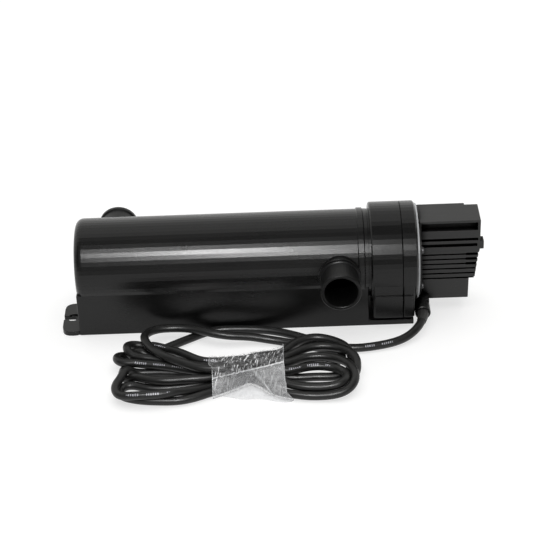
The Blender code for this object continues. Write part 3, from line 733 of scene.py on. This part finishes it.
def film_coat():
    """Clear film: wrinkles that run round the bundle, a milky veil, and the marks left along its creases."""
    coat = Coat("cling_film", (0.90, 0.905, 0.92), 0.16, 0.6, ior=1.45)
    mark = {}
    for name in ("veil", "streak", "seam", "ledge", "across", "down"):
        mark[name] = coat.node("ShaderNodeAttribute", attribute_name=name).outputs["Fac"]
    slope = coat.math("ADD", mark["across"], coat.math("MULTIPLY", mark["down"], 0.22))
    place = coat.node("ShaderNodeCombineXYZ")
    coat.wire(slope, place.inputs[0])
    coat.wire(coat.math("MULTIPLY", mark["down"], 0.16), place.inputs[1])
    wrinkle = coat.node("ShaderNodeTexNoise")
    settings = {"Scale": 0.62, "Detail": 3.0, "Roughness": 0.6, "Distortion": 0.4}
    for socket, value in settings.items():
        wrinkle.inputs[socket].default_value = value
    coat.wire(place.outputs[0], wrinkle.inputs["Vector"])
    bright = coat.span(wrinkle.outputs["Fac"], 0.0, 1.0, 0.56, 0.67)
    faint = coat.span(coat.noise(160.0, 4.0), -0.06, 0.10)
    broken = coat.span(coat.noise(420.0, 2.0), 0.45, 1.0, 0.40, 0.55)
    cover = coat.math("ADD", mark["veil"], coat.math("MULTIPLY", mark["streak"], bright))
    cover = coat.math("ADD", cover, coat.math("MULTIPLY", mark["seam"], broken))
    crease = coat.span(coat.math("ABSOLUTE", mark["ledge"]), 1.0, 0.0, 0.35, 0.85)
    clear = coat.span(mark["across"], 0.55, 1.3, 160.0, 172.0)
    crease = coat.math("MULTIPLY", crease, clear)
    cover = coat.math("ADD", cover, coat.math("MULTIPLY", crease, broken))
    cover = coat.math("ADD", cover, faint)
    coat.wire(coat.span(cover, 0.02, 0.97, 0.02, 0.97), coat.shader.inputs["Alpha"])
    coat.roughness_from(coat.span(coat.noise(90.0, 3.0), 0.10, 0.30))
    coat.bump(wrinkle.outputs["Fac"], 0.0009)
    coat.bump(coat.noise(900.0, 3.0), 0.00004)
    return coat


def simple(name, color, roughness, specular=0.5, metallic=0.0, scale=60.0, bump=0.00004, **more):
    """A plain coat with a little cloud in its colour and roughness, and a fine surface."""
    coat = Coat(name, color, roughness, specular, metallic, **more)
    darker = tuple(c * 0.82 for c in color)
    lighter = tuple(min(1.0, c * 1.12) for c in color)
    coat.color_from(coat.mix(coat.noise(scale, 4.0), darker, lighter))
    patches = coat.noise(scale * 1.7, 5.0)
    coat.roughness_from(coat.span(patches, max(0.02, roughness - 0.08), roughness + 0.1))
    coat.bump(coat.noise(scale * 12.0, 3.0), bump)
    return coat


def coats():
    """Every coat, by the name of its look."""
    deep = (0.0035, 0.0035, 0.0036)
    shell_light, collar_light = (0.0060, 0.0058, 0.0056), (0.0060, 0.0060, 0.0058)
    case_dark, case_light = (0.013, 0.013, 0.0128), (0.018, 0.018, 0.0175)
    port_dark, port_light = (0.0060, 0.0060, 0.0060), (0.0090, 0.0090, 0.0088)
    return {
        "shell": moulded("shell_plastic", deep, shell_light, (0.23, 0.33), 0.32, 0.000045),
        "collar": moulded("collar_plastic", deep, collar_light, (0.20, 0.30), 0.28, 0.000014),
        # The case gets painted shade in its grooves, out to 9 mm.
        "case": moulded("case_plastic", case_dark, case_light, (0.40, 0.52), 0.38, 0.00003, 0.009),
        "port": moulded("port_plastic", port_dark, port_light, (0.34, 0.44), 0.20, 0.00002),
        "rubber": rubber(),
        "boot": simple("boot_rubber", (0.035, 0.034, 0.033), 0.5, 0.4, scale=120.0),
        "seal": simple("seal_rubber", (0.01, 0.01, 0.01), 0.5, 0.4),
        "gasket": simple("gasket_silicone", (0.42, 0.43, 0.44), 0.40, 0.5),
        "steel": simple("screw_steel", (0.10, 0.10, 0.102), 0.42, 0.5, 1.0, scale=300.0),
        "quartz": simple("quartz_glass", (0.97, 0.985, 1.0), 0.06, transmission=1.0, ior=1.46, bump=0.000004),
        "lamp": simple("lamp_glass", (0.86, 0.89, 0.92), 0.12, transmission=0.55, bump=0.000004),
        "ivory": simple("ivory_plastic", (0.72, 0.69, 0.60), 0.4),
        "board": simple("board_green", (0.03, 0.16, 0.06), 0.45, scale=220.0),
        "coil": simple("choke_core", (0.20, 0.14, 0.06), 0.45, scale=200.0),
        "can": simple("capacitor_can", (0.05, 0.07, 0.16), 0.35),
        "film": film_coat(),
        "brown": simple("core_brown", (0.16, 0.06, 0.03), 0.4),
        "blue": simple("core_blue", (0.03, 0.10, 0.40), 0.4),
        "earth": simple("core_green", (0.10, 0.30, 0.05), 0.4),
        "tin": simple("ferrule_tin", (0.7, 0.7, 0.7), 0.3, 0.5, 1.0),
    }


def dress(made, coat):
    made.data.materials.clear()
    made.data.materials.append(coat.made)


# Light and floor ------------------------------------------------------------------------

# The studio's brightness by the angle above the front horizon, as a share of the half turn to the back one.
WORLD_STOPS = (
    (0.0, 0.30),
    (0.12, 0.22),
    (0.25, 0.16),
    (0.36, 0.15),
    (0.50, 0.13),
    (0.54, 0.55),
    (0.58, 1.20),
    (0.72, 0.85),
    (0.84, 1.00),
    (1.0, 1.15),
)


def build_world():
    """A white background for the camera, and a studio dark in front and light behind for everything else."""
    world = bpy.data.worlds.new("studio")
    scene.world = world
    world.use_nodes = True
    tree = world.node_tree
    tree.nodes.clear()
    coords = tree.nodes.new("ShaderNodeTexCoord")
    parts = tree.nodes.new("ShaderNodeSeparateXYZ")
    front = tree.nodes.new("ShaderNodeMath")
    front.operation = "MULTIPLY"
    front.inputs[1].default_value = -1.0
    angle = tree.nodes.new("ShaderNodeMath")
    angle.operation = "ARCTAN2"
    share = tree.nodes.new("ShaderNodeMath")
    share.operation = "MULTIPLY"
    share.inputs[1].default_value = 1.0 / math.pi
    ramp = tree.nodes.new("ShaderNodeValToRGB")
    while len(ramp.color_ramp.elements) < len(WORLD_STOPS):
        ramp.color_ramp.elements.new(0.5)
    for element, (place, value) in zip(ramp.color_ramp.elements, WORLD_STOPS):
        element.position = place
        element.color = (value, value, value * 0.985, 1.0)
    shade = tree.nodes.new("ShaderNodeBackground")
    plain = tree.nodes.new("ShaderNodeBackground")
    path = tree.nodes.new("ShaderNodeLightPath")
    both = tree.nodes.new("ShaderNodeMixShader")
    output = tree.nodes.new("ShaderNodeOutputWorld")
    for a, b in (
        (coords.outputs["Generated"], parts.inputs[0]),
        (parts.outputs["Y"], front.inputs[0]),
        (parts.outputs["Z"], angle.inputs[0]),
        (front.outputs[0], angle.inputs[1]),
        (angle.outputs[0], share.inputs[0]),
        (share.outputs[0], ramp.inputs[0]),
        (ramp.outputs[0], shade.inputs[0]),
        (path.outputs["Is Camera Ray"], both.inputs[0]),
        (shade.outputs[0], both.inputs[1]),
        (plain.outputs[0], both.inputs[2]),
        (both.outputs[0], output.inputs[0]),
    ):
        tree.links.new(a, b)
    plain.inputs[0].default_value = (1.0, 1.0, 1.0, 1.0)


def area_light(name, place, aim, size, power, glossy):
    """A rectangle of light, seen either only in reflections or only as diffuse light."""
    data = bpy.data.lights.new(name, "AREA")
    data.shape = "RECTANGLE"
    data.size, data.size_y = size
    data.energy = power
    light = link(bpy.data.objects.new(name, data))
    light.location = place
    away = Vector(place) - Vector(aim)
    light.rotation_euler = away.to_track_quat("Z", "Y").to_euler()
    light.visible_glossy = glossy
    light.visible_diffuse = not glossy
    light.visible_camera = False
    light.visible_transmission = False
    return light


# How far the strip boxes are off the barrel's axis, in metres, their elevation in degrees, and their slope.
STRIP_DISTANCE = 1.25
STRIP_ELEVATION = 39.0
STRIP_DROP = 1.37


def strip_light(name, x, size, power):
    """A strip box above the front, lower toward the lamp head. Its reflection is the barrel's highlight."""
    lift = math.radians(STRIP_ELEVATION)
    inward = Vector((0.0, math.cos(lift), -math.sin(lift)))
    raised = Vector((0.0, math.sin(lift), math.cos(lift)))
    along = (Vector((1.0, 0.0, 0.0)) - STRIP_DROP * raised).normalized()
    place = Vector((x, 0.0, AXIS_Z * MM)) - inward * STRIP_DISTANCE - STRIP_DROP * x * raised
    light = area_light(name, place, place + inward, size, power, glossy=True)
    matrix = Matrix((along, (-inward).cross(along), -inward)).transposed().to_4x4()
    matrix.translation = place
    light.matrix_world = matrix


# Half the floor's side, in metres.
FLOOR_HALF = 4.0


def build_stage():
    """A white sweep, lit a little from within so that it stays white behind the object."""
    bm = bmesh.new()
    bmesh.ops.create_grid(bm, x_segments=8, y_segments=8, size=FLOOR_HALF)
    mesh = bpy.data.meshes.new("studio_floor")
    bm.to_mesh(mesh)
    bm.free()
    floor = link(bpy.data.objects.new("studio_floor", mesh))
    coat = Coat("white_sweep", (0.40, 0.40, 0.397), 0.85, 0.1)
    coat.color_from(coat.mix(coat.noise(2.0), (0.390, 0.390, 0.388), (0.410, 0.410, 0.408)))
    coat.set("Emission Color", (1.0, 1.0, 1.0, 1.0))
    coat.set("Emission Strength", 0.66)
    dress(floor, coat)


build_world()
build_stage()
strip_light("strip_core", -0.08, (0.32, 0.046), 11.5)
strip_light("strip_body", -0.06, (0.62, 0.070), 3.6)
strip_light("strip_glow", -0.06, (0.95, 0.12), 2.0)
area_light("overhead_fill", (0.0, -0.2, 2.2), (0.0, 0.0, 0.0), (2.6, 2.6), 34.0, glossy=False)


# Pieces ---------------------------------------------------------------------------------

looks = coats()
# Which CAD nodes wear each look.
DRESS = {
    "shell": ["housing"],
    "collar": ["locking_ring", "head_flange", "sleeve_nut"],
    "case": ["ballast_case"],
    "port": ["front_hose_port", "rear_hose_port"],
    "boot": ["cord_boot"],
    "seal": ["neck_o_ring", "sleeve_o_ring"],
    "gasket": ["face_gasket"],
    "steel": ["case_screw_1", "case_screw_2", "case_screw_3", "case_screw_4"],
    "quartz": ["quartz_sleeve"],
    "lamp": ["uv_lamp_tubes"],
    "ivory": ["lamp_base", "lamp_socket", "terminal_block", "cord_clamp"],
    "board": ["ballast_board"],
    "coil": ["ballast_choke"],
    "can": ["ballast_capacitor"],
}
for look, names in DRESS.items():
    for name in names:
        dress(nodes[name], looks[look])

cord, cord_path = build_cord()
dress(cord, looks["rubber"])
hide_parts("cord_lead", "cord_hank")
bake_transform(cord)

film = build_film()
dress(film, looks["film"])
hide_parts("hank_wrap")
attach(film, "base")

for core, ferrule, name in build_cores():
    dress(core, looks[name])
    dress(ferrule, looks["tin"])
    for piece in (core, ferrule):
        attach(piece, "base")

scene.view_settings.view_transform = "Standard"
